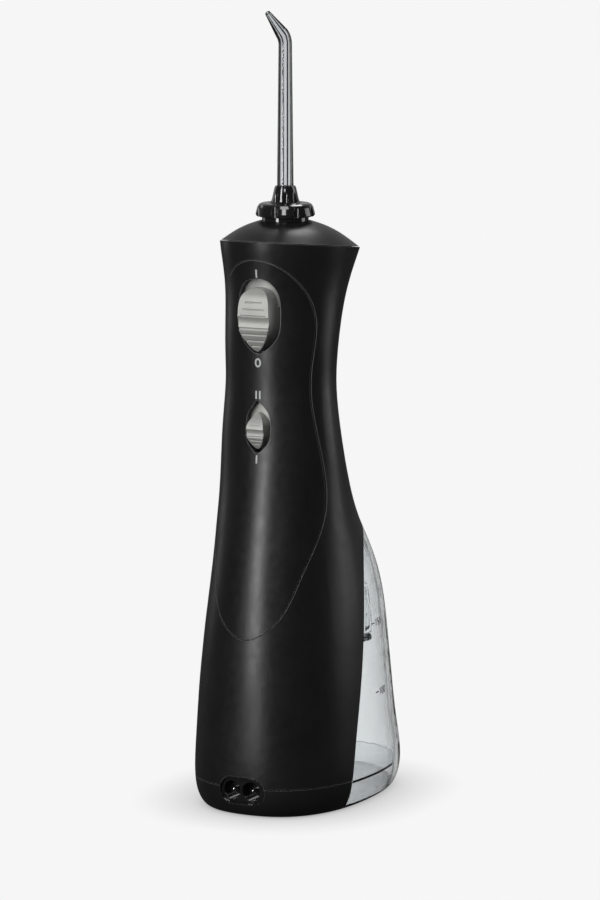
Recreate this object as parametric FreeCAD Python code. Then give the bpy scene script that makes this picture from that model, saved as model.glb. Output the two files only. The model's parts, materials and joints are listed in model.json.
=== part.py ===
import FreeCAD, Part
import math
import os

# Cordless water flosser. Millimetres, +Z up, front towards -Y.
# Origin: on the tip's axis, in the plane the flosser stands on.

V = FreeCAD.Vector
X_AXIS = V(1, 0, 0)
Y_AXIS = V(0, 1, 0)
Z_AXIS = V(0, 0, 1)

# ---------------------------------------------------------------- driving dimensions
# Outer skin, one row per height: z, half width, reach to the front, reach to the back,
# and squareness (2 is an ellipse, more is boxier).
SKIN = [
    (0, 33.2, 36.5, 58.4, 2.45),
    (12, 33.2, 36.6, 58.2, 2.45),
    (24, 32.8, 36.4, 56.0, 2.42),
    (40, 31.9, 35.4, 53.0, 2.38),
    (58, 30.8, 33.9, 51.2, 2.3),
    (76, 29.3, 31.8, 49.0, 2.22),
    (90, 27.7, 29.7, 43.4, 2.15),
    (104, 25.9, 27.3, 32.8, 2.08),
    (117, 24.5, 25.2, 25.0, 2.0),
    (132, 23.3, 23.4, 18.8, 2.0),
    (150, 21.7, 22.3, 15.0, 2.0),
    (166, 21.1, 22.2, 15.4, 2.0),
    (184, 21.8, 22.3, 19.8, 2.0),
    (198, 23.1, 23.1, 27.0, 2.0),
    (216, 26.0, 24.6, 37.0, 2.0),
]
FOOT_HEIGHT = 12.0       # height of the rounded foot
FOOT_INSET = 5.0         # how far the foot curves in at the bottom
SEAM_Z = 11.1            # seam between base cap and housing
SEAM_GAP = 0.3
WALL = 2.6               # housing wall
PANEL_THICKNESS = 1.2
PANEL_GAP = 0.3
RIM_FRONT_Y = -24.0      # the head's rim is a plane that drops towards the back
RIM_FRONT_Z = 212.5
RIM_SLOPE = 0.11
RIM_GAP = 0.25
COLLAR_RADIUS = 9.3      # top of the domed head cap
COLLAR_Z = 218.2
DOME_WALL = 2.2
DOME_CROWN = 0.14        # how much the dome bulges over a straight cone

# Side view of the joint between the black housing and the tank: (y, z), bottom to top.
TANK_JOINT = [(-8.8, -2), (-8.2, 10), (-5.6, 24), (-1.8, 39), (2.4, 56), (6.2, 75),
              (9.4, 90), (15.4, 101.5), (26, 106.6), (46, 110)]
TANK_GAP = 0.2
TANK_WALL = 2.0
TANK_FLOOR = 2.2

# Half outline of the front panel, seen from the front: (x, z), top to bottom.
PANEL_OUTLINE = [(0, 205.7), (11.5, 200.8), (17.6, 189.4), (18.3, 174.5), (17.2, 159.6), (19.0, 143.9),
                 (21.6, 124.2), (21.6, 106.5), (17.6, 89.2), (10.4, 72.0), (0, 66.3)]

POWER_Z = 185.2          # centre of the power slider's window
POWER_TRAVEL = 2.8       # upwards, from off to on
POWER_WINDOW = [(0, 13.45), (4.3, 12.4), (7.0, 9.3), (8.1, 4.9), (8.2, -1.6), (7.8, -5.8),
                (6.2, -9.3), (3.2, -12.3), (0, -13.85)]
POWER_PAD = [(0, 10.0), (2.7, 9.5), (4.6, 8.2), (5.8, 5.7), (6.25, 2.4), (6.25, -2.6),
             (5.9, -5.0), (4.9, -7.7), (3.1, -10.4), (1.2, -12.5), (0, -13.1)]
POWER_PLATE = [(0, 14.3), (4.8, 13.3), (7.8, 10.4), (8.8, 6.6), (8.2, 4.2), (6.2, 2.2),
               (5.6, -2.0), (4.6, -6.0), (2.5, -9.5), (0, -11.0)]
POWER_PROFILE = [(10.6, -22.6), (9.6, -23.6), (8.0, -24.9), (5.0, -25.8), (1.0, -26.15),
                 (-4.5, -26.1), (-7.5, -25.2), (-10.5, -23.9), (-13.0, -22.6), (-13.8, -21.9)]
POWER_GROOVES = [(5.1, -25.85, 0.34, 3.3), (2.5, -26.15, 0.34, 4.3), (0.1, -26.25, 0.36, 5.1),
                 (-4.6, -26.0, 0.55, 9.0), (-6.8, -25.6, 0.5, 5.2), (-9.1, -24.65, 0.45, 3.6),
                 (-11.2, -23.65, 0.4, 2.0)]
POWER_SADDLE = (-2.4, -30.6, 5.0)
PRESSURE_Z = 143.9       # centre of the pressure slider's window
PRESSURE_WINDOW = [(0, 9.45), (2.2, 7.5), (4.2, 4.4), (4.65, 1.2), (4.65, -3.2), (4.2, -5.0),
                   (2.6, -7.3), (0, -9.25)]
PRESSURE_PAD = [(0, 5.0), (1.7, 3.7), (3.1, 1.5), (3.4, -1.0), (3.3, -3.2), (2.6, -5.2),
                (1.3, -7.0), (0, -7.8)]
PRESSURE_PLATE = [(0, 9.9), (2.5, 8.0), (4.5, 4.9), (5.1, 2.8), (4.4, 1.4), (3.1, 0.2),
                  (2.8, -2.5), (1.8, -5.0), (0, -6.3)]
PRESSURE_PROFILE = [(5.6, -21.4), (4.6, -22.4), (2.9, -23.8), (1.2, -24.7), (-1.3, -25.2),
                    (-3.8, -24.7), (-5.5, -23.8), (-7.8, -22.4), (-8.5, -21.8)]
PRESSURE_GROOVES = [(2.8, -24.05, 0.26, 1.2), (1.0, -24.95, 0.28, 1.9), (-3.3, -24.95, 0.45, 6.0),
                    (-4.8, -24.3, 0.32, 2.3), (-6.2, -23.5, 0.28, 1.3)]
PRESSURE_SADDLE = (-2.2, -27.6, 3.0)
PLATE_INSETS = (2.9, 3.75)   # the sliders' plates run just behind the housing wall
PAD_DRAFT = (-0.2, 0.7)      # growth of a pad's outline from PAD_FRONT_Y to PAD_BACK_Y
PAD_FRONT_Y = -30.0
PAD_BACK_Y = -12.0
RECESS_GAP = 0.25
RECESS_FLOOR_Y = -17.2   # front of the space behind the sliders' plates

PORT_Z = 10.0
PORT_HALF_SPACING = 3.95
PORT_HOLE_RADIUS = 3.6
PORT_RIM_RADIUS = 5.2
PORT_LIP = 0.4           # width of the raised lip around the port
PORT_DEPTH = 7.0
PIN_RADIUS = 0.8

BASE_SCREWS = [(-20.5, -15), (20.5, -15), (-14.5, -25), (14.5, -25)]
SCREW_RADIUS = 1.25
SCREW_SEAT_Z = 3.0       # underside of the screw heads
BOSS_TOP = 15.0

RUN = 0.05               # running clearance on a radius
KNOB_STEM_RADIUS = 6.5
TIP_STEM_RADIUS = 2.6
TIP_BASE_RADIUS = 3.05
TIP_NECK_RADIUS = 2.5
TIP_END_RADIUS = 1.0
TIP_BORE = 0.8
TIP_LOW_Z = 194.0
TIP_ELBOW_Z = 283.0
TIP_BEND = 43.0
TIP_TURN = -20.0
KNOB_TOP = 231.0
KNOB_LOBES = 8
KNOB_ANGLE = -18.0
KNOB_PROFILE = [(0, 218.3), (8.6, 218.3), (8.6, 219.9), (10.5, 219.9), (10.95, 220.4), (10.9, 221.2),
                (10.35, 223.3), (9.7, 224.3), (8.9, 224.7), (6.1, 224.8), (5.3, 225.4), (4.9, 226.6),
                (4.05, 230.2), (3.75, KNOB_TOP), (0, KNOB_TOP)]

MODULE = 0.5             # gear teeth
PINION_TEETH = 12
CRANK_TEETH = 48
GEAR_BACKLASH = 0.12
GEAR_Y = -10.5
GEAR_WIDTH = 3.0
CRANK_RADIUS = 3.5
MOTOR_Z = 119.0
MOTOR_RADIUS = 11.0
MOTOR_LENGTH = 16.5
MOTOR_FRONT_Y = -2.0
SHAFT_RADIUS = 1.0
PISTON_RADIUS = 4.0
PISTON_Y = -5.4
ROD_LENGTH = 20.0
CELL_RADIUS = 7.1
CELL_LENGTH = 50.0

CRANK_Z = MOTOR_Z + MODULE * (PINION_TEETH + CRANK_TEETH) / 2
WRIST_Z = CRANK_Z + CRANK_RADIUS + ROD_LENGTH

# Eject button at the back of the head.
EJECT_Z = 196.5
EJECT_HALF_WIDTH = 6.0
EJECT_HALF_HEIGHT = 4.2
LATCH_BACK_Y = 18.6
LATCH_LOW_Z = 188.6
LATCH_TOP_Z = 201.4
SPRING_STOP_Y = 12.3

# Pump: frame, cylinder and valves.
FRAME_X = 14.9
FRAME_TOP = CRANK_Z + 17.5
CYLINDER_TOP = WRIST_Z + 12.6
VALVE_X = 6.0
INLET_X = -8.4
BLOCK_LOW = CYLINDER_TOP
BLOCK_HIGH = CYLINDER_TOP + 9.0
FITTING_Z = 62.0

# Battery and circuit board.
CELL_Y = -21.0
CELL_LOW = 17.0
BOARD_Y = -14.6

# Filling door on the back of the tank.
DOOR_Z = 66.0
DOOR_HALF_WIDTH = 13.0
DOOR_HALF_HEIGHT = 11.0
DOOR_CORNER = 4.0
DOOR_GAP = 0.3
HINGE_RADIUS = 1.4
HINGE_PIN_RADIUS = 0.7


# ---------------------------------------------------------------- helpers
def save(shape, name):
    """Write one sub-part as a STEP file."""
    if not shape.isValid():
        print("not valid:", name)
    shape.exportStep("parts/" + name + ".step")


def smooth(rows, height, column):
    """Read one column of a table at a height, along a monotone cubic."""
    slopes = []
    for low, high in zip(rows, rows[1:]):
        slopes.append((high[column] - low[column]) / (high[0] - low[0]))
    tangents = [slopes[0]]
    for before, after in zip(slopes, slopes[1:]):
        same_way = before * after > 0
        tangents.append(2 * before * after / (before + after) if same_way else 0.0)
    tangents.append(slopes[-1])
    index = 0
    while index < len(rows) - 2 and height > rows[index + 1][0]:
        index += 1
    step = rows[index + 1][0] - rows[index][0]
    t = (height - rows[index][0]) / step
    return ((1 + 2 * t) * (1 - t) ** 2 * rows[index][column]
            + t * (1 - t) ** 2 * step * tangents[index]
            + t * t * (3 - 2 * t) * rows[index + 1][column]
            + t * t * (t - 1) * step * tangents[index + 1])


def foot_inset(height):
    """How far the skin curves in, close to the floor."""
    if height >= FOOT_HEIGHT:
        return 0.0
    t = (FOOT_HEIGHT - height) / FOOT_HEIGHT
    return FOOT_INSET * (1 - math.sqrt(max(0.0, 1 - t * t)))


def skin_point(height, angle, inset=0.0):
    """Point on the outer skin; angle 0 is the front, pi/2 the +X side."""
    half_width, front, back, squareness = [smooth(SKIN, height, k) for k in (1, 2, 3, 4)]
    shrink = inset + foot_inset(height)
    centre_y = (back - front) / 2
    half_depth = (back + front) / 2 - shrink
    half_width -= shrink
    power = 2 / squareness
    s = math.sin(angle)
    c = math.cos(angle)
    x = half_width * math.copysign(abs(s) ** power, s)
    y = centre_y - half_depth * math.copysign(abs(c) ** power, c)
    return V(x, y, height)


def closed_curve(points):
    """Closed smooth curve, split into four edges so that a loft over it has four faces."""
    curve = Part.BSplineCurve()
    curve.interpolate(points, PeriodicFlag=True)
    quarter = len(points) // 4
    cuts = [curve.FirstParameter] + [curve.parameter(points[quarter * k]) for k in (1, 2, 3)]
    cuts.append(curve.LastParameter)
    return Part.Wire([curve.toShape(a, b) for a, b in zip(cuts, cuts[1:])])


SKIN_ANGLES = [2 * math.pi * k / 28 + math.pi / 4 for k in range(28)]


def skin_solid(low, high, inset=0.0):
    """Solid inside the skin between two heights, moved in by inset."""
    levels = [low] + [row[0] for row in SKIN if low + 2 < row[0] < high - 2] + [high]
    if low < FOOT_HEIGHT / 2:
        levels[1:1] = [z for z in (1.0, 2.8, 6.2) if z > low + 0.4]
    wires = [closed_curve([skin_point(z, a, inset) for a in SKIN_ANGLES]) for z in levels]
    return Part.makeLoft(wires, True, False)


def cylinder(radius, length, base, axis=Z_AXIS):
    return Part.makeCylinder(radius, length, base, axis)


def tube(outer, inner, length, base, axis=Z_AXIS):
    return cylinder(outer, length, base, axis).cut(cylinder(inner, length, base, axis))


def block(x0, x1, y0, y1, z0, z1):
    return Part.makeBox(x1 - x0, y1 - y0, z1 - z0, V(x0, y0, z0))


def hose(points, outer, inner=0.0):
    """Round hose or wire along a smooth curve; a wire has no bore."""
    curve = Part.BSplineCurve()
    curve.interpolate(points)
    path = Part.Wire(curve.toShape())
    start = curve.value(curve.FirstParameter)
    along = curve.tangent(curve.FirstParameter)[0]

    def sweep(radius):
        ring = Part.Wire(Part.makeCircle(radius, start, along))
        return path.makePipeShell([ring], True, True)

    body = sweep(outer)
    return body.cut(sweep(inner)) if inner else body


def mirror_outline(half):
    """Closed list of points from a half outline that starts and ends on x = 0."""
    return half + [(-x, z) for x, z in reversed(half[1:-1])]


def outline_wire(outline, grow, y):
    """Closed wire through a clockwise front-view outline, grown sideways, in the plane at y."""
    points = [V(x, y, z) for x, z in outline]
    curve = Part.BSplineCurve()
    curve.interpolate(points, PeriodicFlag=True)
    grown = []
    for point in points:
        along = curve.tangent(curve.parameter(point))[0]
        grown.append(point + V(-along.z, 0, along.x) * grow)
    return closed_curve(grown)


def front_prism(outline, grow=0.0, y0=-60.0, y1=0.0):
    """Prism along Y over an outline."""
    return Part.Face(outline_wire(outline, grow, y0)).extrude(V(0, y1 - y0, 0))


def drafted_prism(outline):
    """A pad's block, which widens a little from front to back."""
    front = outline_wire(outline, PAD_DRAFT[0], PAD_FRONT_Y)
    back = outline_wire(outline, PAD_DRAFT[1], PAD_BACK_Y)
    return Part.makeLoft([front, back], True, True)


def joint_curve(offset):
    """The tank joint moved by an offset, positive towards the tank."""
    joint = [V(0, y, z) for y, z in TANK_JOINT]
    if offset == 0:
        return joint
    curve = Part.BSplineCurve()
    curve.interpolate(joint)
    first, last = curve.FirstParameter, curve.LastParameter
    points = []
    for k in range(13):
        at = first + (last - first) * k / 12
        along = curve.tangent(at)[0]
        points.append(curve.value(at) + V(0, along.z, -along.y) * offset)
    return points


def tank_side(offset):
    """Everything behind the tank joint, as one prism along X."""
    half = 80
    curve = Part.BSplineCurve()
    points = [p + V(-half, 0, 0) for p in joint_curve(offset)]
    curve.interpolate(points)
    low = points[0]
    high = points[-1]
    corners = [high, V(-half, 120, high.z), V(-half, 120, -10), V(-half, low.y, -10), low]
    edges = [curve.toShape()] + [Part.makeLine(a, b) for a, b in zip(corners, corners[1:])]
    return Part.Face(Part.Wire(edges)).extrude(V(2 * half, 0, 0))


def rim_height(y):
    return RIM_FRONT_Z - RIM_SLOPE * (y - RIM_FRONT_Y)


def below_rim(drop=0.0):
    """Everything below the rim plane, lowered by drop."""
    y0, y1 = -60, 80
    corners = [V(-60, y0, -5), V(-60, y1, -5), V(-60, y1, rim_height(y1) - drop),
               V(-60, y0, rim_height(y0) - drop)]
    return Part.Face(Part.makePolygon(corners + corners[:1])).extrude(V(120, 0, 0))


def rim_point(angle, inset=0.0):
    """Point where the skin meets the rim plane."""
    height = RIM_FRONT_Z
    for _ in range(5):
        height = rim_height(skin_point(height, angle, inset).y)
    point = skin_point(height, angle, inset)
    point.z = rim_height(point.y)
    return point


def dome(inset, drop):
    """Solid dome from the rim up to the collar."""
    wires = []
    for s in (0, 0.2, 0.45, 0.72, 1):
        rise = s + DOME_CROWN * math.sin(math.pi * s)
        ring = []
        for angle in SKIN_ANGLES:
            low = rim_point(angle, inset)
            radius = COLLAR_RADIUS - inset
            high = V(radius * math.sin(angle), -radius * math.cos(angle), COLLAR_Z)
            point = low + (high - low) * s
            point.z = low.z + (high.z - low.z) * rise - drop
            ring.append(point)
        wires.append(closed_curve(ring))
    return Part.makeLoft(wires, True, False)


# ---------------------------------------------------------------- outlines on the front
def placed(half, centre):
    """Whole outline from half of it, at a height."""
    return mirror_outline([(x, centre + z) for x, z in half])


def windows(depth_y):
    """The two windows the sliders stand in, as prisms that end at depth_y."""
    power = front_prism(placed(POWER_WINDOW, POWER_Z), RECESS_GAP, y1=depth_y)
    return power.fuse(front_prism(placed(PRESSURE_WINDOW, PRESSURE_Z), RECESS_GAP, y1=depth_y))


# ---------------------------------------------------------------- outer shells
def make_envelope():
    return skin_solid(0, 216)


def port_outline(radius):
    """Stadium around the two charging holes, as a prism along Y."""
    prism = block(-PORT_HALF_SPACING, PORT_HALF_SPACING, -60, 0, PORT_Z - radius, PORT_Z + radius)
    for side in (-1, 1):
        base = V(side * PORT_HALF_SPACING, -60, PORT_Z)
        prism = prism.fuse(cylinder(radius, 60, base, Y_AXIS))
    return prism.removeSplitter()


def port_front():
    return skin_point(PORT_Z, 0).y


def make_main_housing(envelope):
    top = 216
    shell = envelope.common(block(-60, 60, -60, 80, SEAM_Z + SEAM_GAP, top)).common(below_rim(RIM_GAP))
    shell = shell.cut(tank_side(-TANK_GAP / 2))
    cavity = skin_solid(SEAM_Z - 4, top, WALL).cut(tank_side(-TANK_GAP / 2 - WALL))
    shell = shell.cut(cavity)
    panel_bed = front_prism(mirror_outline(PANEL_OUTLINE), PANEL_GAP, y1=-2)
    panel_bed = panel_bed.cut(skin_solid(50, top, PANEL_THICKNESS + 0.05))
    shell = shell.cut(panel_bed)
    shell = shell.cut(windows(-10))
    shell = shell.cut(port_outline(PORT_RIM_RADIUS + 0.1))
    shell = shell.cut(eject_slot(0.2))
    fitting = cylinder(3.1, 40, V(0, -12, FITTING_Z), Y_AXIS)
    shell = shell.cut(fitting)
    for boss in make_screw_bosses():
        shell = shell.fuse(boss)
    return shell


def make_screw_bosses():
    """Posts inside the housing that the base screws bite into, webbed to the wall."""
    low, high = SEAM_Z + 2.0, BOSS_TOP
    bosses = []
    for x, y in BASE_SCREWS:
        outward = math.copysign(1, x)
        boss = cylinder(3.2, high - low, V(x, y, low))
        if abs(x) > 18:
            x0, x1 = sorted((x, x + 12 * outward))
            web = block(x0, x1, y - 0.8, y + 0.8, low, high)
        else:
            web = block(x - 0.8, x + 0.8, y - 12, y, low, high)
        boss = boss.fuse(web).common(skin_solid(SEAM_Z - 4, BOSS_TOP + 10, WALL - 0.5))
        bosses.append(boss.cut(cylinder(SCREW_RADIUS, 20, V(x, y, low - 1))))
    return bosses


def make_front_panel(envelope):
    outline = mirror_outline(PANEL_OUTLINE)
    panel = envelope.common(front_prism(outline, y1=-2)).cut(skin_solid(50, 216, PANEL_THICKNESS))
    return panel.cut(windows(-5))


def make_head_cap():
    cap = dome(0, 0).cut(dome(DOME_WALL, DOME_WALL))
    lip_out = skin_solid(200, 216, WALL + 0.1)
    lip_in = skin_solid(200, 216, WALL + 1.5)
    lip = lip_out.cut(lip_in).common(below_rim(-0.5)).cut(below_rim(2.5))
    cap = cap.fuse(lip)
    hole = cylinder(KNOB_STEM_RADIUS + RUN, 30, V(0, 0, 200))
    return cap.cut(hole)


def make_base_cap(envelope):
    cap = envelope.common(block(-60, 60, -60, 80, 0, SEAM_Z)).cut(tank_side(-TANK_GAP / 2))
    hollow = skin_solid(3.0, SEAM_Z + 2, WALL).cut(tank_side(-TANK_GAP / 2 - WALL))
    cap = cap.cut(hollow)
    for x, y in BASE_SCREWS:
        cap = cap.fuse(cylinder(3.4, SEAM_Z - 1.5, V(x, y, 1.5)))
        cap = cap.cut(cylinder(SCREW_RADIUS + 0.15, SEAM_Z + 1, V(x, y, 0)))
        cap = cap.cut(cylinder(2.6, SCREW_SEAT_Z, V(x, y, 0)))
    return cap.cut(port_outline(PORT_RIM_RADIUS + 0.1))


def make_base_seal():
    """Gasket inside the seam, against both walls, that steps round the charging port."""
    low, high = SEAM_Z - 1.4, SEAM_Z + 1.6
    inside = skin_solid(low, high, WALL + 0.05)
    port_half = PORT_HALF_SPACING + PORT_RIM_RADIUS + 0.7
    port_back = port_front() + PORT_DEPTH + 0.2
    around_port = block(-port_half, port_half, -60, port_back, low, high)
    ring = inside.cut(skin_solid(low - 1, high + 1, WALL + 1.2)).cut(around_port)
    step = block(-port_half - 1.1, port_half + 1.1, -60, port_back + 1.1, low, high)
    step = step.cut(around_port).common(inside)
    ring = ring.fuse(step).cut(tank_side(-6))
    return ring


def make_base_screws():
    screws = []
    for x, y in BASE_SCREWS:
        head = cylinder(2.5, 1.5, V(x, y, SCREW_SEAT_Z - 1.5))
        shank = cylinder(SCREW_RADIUS, BOSS_TOP - SCREW_SEAT_Z - 0.4, V(x, y, SCREW_SEAT_Z))
        cross = block(x - 1.3, x + 1.3, y - 0.3, y + 0.3, SCREW_SEAT_Z - 1.6, SCREW_SEAT_Z - 0.8)
        cross = cross.fuse(block(x - 0.3, x + 0.3, y - 1.3, y + 1.3, SCREW_SEAT_Z - 1.6, SCREW_SEAT_Z - 0.8))
        screws.append(head.fuse(shank).cut(cross))
    return Part.makeCompound(screws)


def make_charging_port():
    """Socket insert: a stadium block that follows the skin, with two round holes."""
    front = port_front()
    body = port_outline(PORT_RIM_RADIUS)
    lip = body.cut(port_outline(PORT_RIM_RADIUS - PORT_LIP)).common(skin_solid(0, 40, -0.35))
    body = body.common(skin_solid(0, 40, 0.6)).fuse(lip)
    body = body.common(block(-20, 20, -60, front + PORT_DEPTH, 0, 30))
    for side in (-1, 1):
        base = V(side * PORT_HALF_SPACING, front - 2, PORT_Z)
        body = body.cut(cylinder(PORT_HOLE_RADIUS, PORT_DEPTH, base, Y_AXIS))
        body = body.cut(cylinder(PIN_RADIUS, 2 * PORT_DEPTH, base, Y_AXIS))
    return body


def make_charging_pins():
    front = port_front()
    pins = []
    for side in (-1, 1):
        tip = V(side * PORT_HALF_SPACING, front + 1.6, PORT_Z)
        pin = cylinder(PIN_RADIUS, PORT_DEPTH - 2.6, tip + V(0, PIN_RADIUS, 0), Y_AXIS)
        pins.append(pin.fuse(Part.makeSphere(PIN_RADIUS, tip + V(0, PIN_RADIUS, 0))))
    return Part.makeCompound(pins)


# ---------------------------------------------------------------- sliders
def shell_layer(outline, outer_inset, inner_inset, low, high):
    """A layer of the skin, inside an outline."""
    layer = front_prism(outline, y1=-8).common(skin_solid(low, high, outer_inset))
    return layer.cut(skin_solid(low - 1, high + 1, inner_inset))


def profile_prism(profile, centre, half_width):
    """Everything behind a pad's front, seen from the side, as a prism along X."""
    points = [V(-half_width, y, centre + z) for z, y in profile]
    curve = Part.BSplineCurve()
    curve.interpolate(points)
    corners = [points[-1], V(-half_width, -8, points[-1].z), V(-half_width, -8, points[0].z), points[0]]
    edges = [curve.toShape()] + [Part.makeLine(a, b) for a, b in zip(corners, corners[1:])]
    return Part.Face(Part.Wire(edges)).extrude(V(2 * half_width, 0, 0))


def make_slider(centre, pad, plate, profile, grooves, saddle):
    """Plate behind the window, with a tall thumb pad that has a saddle and grooves across it."""
    low, high = centre - 22, centre + 22
    body = drafted_prism(placed(pad, centre)).common(profile_prism(profile, centre, 9.0))
    saddle_z, saddle_y, saddle_radius = saddle
    body = body.cut(cylinder(saddle_radius, 20, V(-10, saddle_y, centre + saddle_z), X_AXIS))
    for z, y, radius, half in grooves:
        body = body.cut(cylinder(radius, 2 * half, V(-half, y, centre + z), X_AXIS))
    body = body.cut(skin_solid(low - 1, high + 1, PLATE_INSETS[1]))
    return shell_layer(placed(plate, centre), *PLATE_INSETS, low, high).fuse(body)


def make_power_slider():
    slider = make_slider(POWER_Z, POWER_PAD, POWER_PLATE, POWER_PROFILE, POWER_GROOVES, POWER_SADDLE)
    stem = block(-2.0, 2.0, -20.0, RECESS_FLOOR_Y + 2.6, POWER_Z - 5, POWER_Z - 1)
    return slider.fuse(stem)


def make_pressure_slider():
    slider = make_slider(PRESSURE_Z, PRESSURE_PAD, PRESSURE_PLATE, PRESSURE_PROFILE,
                         PRESSURE_GROOVES, PRESSURE_SADDLE)
    stem = block(-1.2, 1.2, -20.0, -14.4, PRESSURE_Z - 3.1, PRESSURE_Z - 0.1)
    return slider.fuse(stem)


# ---------------------------------------------------------------- tip, knob and eject button
def turned(profile):
    """Solid of revolution about the tip's axis from (radius, height) points."""
    points = [V(r, 0, z) for r, z in profile]
    face = Part.Face(Part.makePolygon(points + points[:1]))
    return face.revolve(V(0, 0, 0), Z_AXIS, 360)


def make_rotation_knob():
    """Ribbed cone over a ring of rounded lobes, with a stem that turns inside the head cap."""
    knob = turned(KNOB_PROFILE)
    for k in range(KNOB_LOBES):
        angle = 360.0 * k / KNOB_LOBES + KNOB_ANGLE
        groove = cylinder(1.15, 8, V(11.0, 0, 219.4))
        groove.rotate(V(0, 0, 0), Z_AXIS, angle + 180.0 / KNOB_LOBES)
        knob = knob.cut(groove)
        flute = Part.makeCone(1.5, 1.05, 5.2, V(6.05, 0, 225.2))
        flute.rotate(V(6.05, 0, 225.2), Y_AXIS, -9)
        flute.rotate(V(0, 0, 0), Z_AXIS, angle)
        knob = knob.cut(flute)
    knob = knob.fuse(cylinder(KNOB_STEM_RADIUS, 15, V(0, 0, COLLAR_Z - 14)))
    return knob.cut(cylinder(TIP_BASE_RADIUS + 0.1, 60, V(0, 0, 190)))


def tip_path(start_z):
    """Straight up the axis, then bent over near the end."""
    bend = math.radians(TIP_BEND)
    radius = 6.0
    low = V(0, 0, TIP_ELBOW_Z)
    mid = V(0, -radius * (1 - math.cos(bend / 2)), TIP_ELBOW_Z + radius * math.sin(bend / 2))
    high = V(0, -radius * (1 - math.cos(bend)), TIP_ELBOW_Z + radius * math.sin(bend))
    end = high + V(0, -math.sin(bend), math.cos(bend)) * 10.6
    edges = [Part.makeLine(V(0, 0, start_z), low), Part.Arc(low, mid, high).toShape(),
             Part.makeLine(high, end)]
    return edges, low, high


def make_jet_tip():
    edges, low, high = tip_path(TIP_LOW_Z)
    bend = math.radians(TIP_BEND)
    out = V(0, -math.sin(bend), math.cos(bend))
    stem = cylinder(TIP_STEM_RADIUS, 212.0 - TIP_LOW_Z, V(0, 0, TIP_LOW_Z))
    flange = cylinder(TIP_BASE_RADIUS, 20, V(0, 0, 212.0))
    shaft = Part.makeCone(TIP_BASE_RADIUS, TIP_NECK_RADIUS, TIP_ELBOW_Z - KNOB_TOP, V(0, 0, KNOB_TOP))
    ring = Part.Wire(Part.makeCircle(TIP_NECK_RADIUS, low, Z_AXIS))
    elbow = Part.Wire(edges[1]).makePipeShell([ring], True, True)
    nose = Part.makeCone(TIP_NECK_RADIUS, TIP_END_RADIUS, 10.6, high, out)
    tip = stem.fuse(flange).fuse(shaft).fuse(elbow).fuse(nose)
    bore_ring = Part.Wire(Part.makeCircle(TIP_BORE, low, Z_AXIS))
    bore = Part.Wire(edges[1]).makePipeShell([bore_ring], True, True)
    bore = bore.fuse(cylinder(TIP_BORE, TIP_ELBOW_Z - TIP_LOW_Z, V(0, 0, TIP_LOW_Z)))
    bore = bore.fuse(Part.makeCone(TIP_BORE, 0.4, 10.6, high, out))
    tip = tip.cut(bore)
    tip.rotate(V(0, 0, 0), Z_AXIS, TIP_TURN)
    return tip


def eject_slot(grow):
    """Rounded opening in the back of the head."""
    half_w = EJECT_HALF_WIDTH + grow
    half_h = EJECT_HALF_HEIGHT + grow
    straight = half_w - half_h
    slot = block(-straight, straight, 5, 60, EJECT_Z - half_h, EJECT_Z + half_h)
    for side in (-1, 1):
        slot = slot.fuse(cylinder(half_h, 55, V(side * straight, 5, EJECT_Z), Y_AXIS))
    return slot.removeSplitter()


def make_eject_button():
    button = eject_slot(0).common(skin_solid(180, 212, -0.8))
    button = button.cut(skin_solid(179, 213, WALL + 1.6))
    groove_y = skin_point(EJECT_Z, math.pi).y + 0.9
    for k in (-1, 0, 1):
        groove = cylinder(0.35, 20, V(-10, groove_y, EJECT_Z + 1.8 * k), X_AXIS)
        button = button.cut(groove)
    return button.fuse(block(-2, 2, LATCH_BACK_Y, 24, 195, 198))


def make_eject_latch():
    """Plate around the tip stem, pushed by the button."""
    plate = block(-5, 5, -5.5, LATCH_BACK_Y, 200.0, LATCH_TOP_Z)
    plate = plate.fuse(block(-4, 4, LATCH_BACK_Y - 1.4, LATCH_BACK_Y, LATCH_LOW_Z, LATCH_TOP_Z))
    hole = block(-3.4, 3.4, -3.6, 5.6, 199.5, 202)
    slot = block(-3.0, 3.0, 8.6, 14.8, 199.5, 202)
    return plate.cut(hole).cut(slot)


def make_tip_socket():
    """Cup in the head that the knob turns in and the tip seals in."""
    cup = tube(KNOB_STEM_RADIUS + 2.0, KNOB_STEM_RADIUS + RUN, 8.0, V(0, 0, 203.4))
    cup = cup.fuse(tube(KNOB_STEM_RADIUS + 2.0, TIP_STEM_RADIUS + RUN, 1.4, V(0, 0, 202.0)))
    lower = tube(6.0, 4.4, 6.0, V(0, 0, 193.5))
    lower = lower.fuse(tube(6.0, 1.2, 1.5, V(0, 0, 192.0)))
    posts = block(-8.4, -5.9, -2.5, 2.5, 193.5, 203.4).fuse(block(5.9, 8.4, -2.5, 2.5, 193.5, 203.4))
    bridge = block(-8.4, 8.4, -2.5, 2.5, 193.5, 195.0).cut(cylinder(5.9, 4, V(0, 0, 192)))
    arm = block(-2.4, 2.4, KNOB_STEM_RADIUS + 1, SPRING_STOP_Y, 203.4, 204.8)
    stop = block(-2.4, 2.4, SPRING_STOP_Y - 1.2, SPRING_STOP_Y, 188.0, 204.8)
    return cup.fuse(lower).fuse(posts).fuse(bridge).fuse(arm).fuse(stop)


def make_tip_seals():
    """Two O-rings in the socket's lower cup."""
    rings = []
    for z in (195.2, 197.8):
        ring = Part.makeTorus(3.5, 0.85, V(0, 0, z))
        rings.append(ring)
    return Part.makeCompound(rings)


def make_eject_spring():
    """Return spring between the socket's stop and the latch, at its pressed length."""
    turns = 3
    wire = 0.25
    length = 2.0
    helix = Part.makeHelix(length / turns, length, 1.6)
    ring = Part.Wire(Part.makeCircle(wire, V(1.6, 0, 0), Y_AXIS))
    spring = Part.Wire(helix).makePipeShell([ring], True, True)
    spring.rotate(V(0, 0, 0), X_AXIS, -90)
    spring.translate(V(0, SPRING_STOP_Y + wire + 0.05, 190.6))
    return spring


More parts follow.
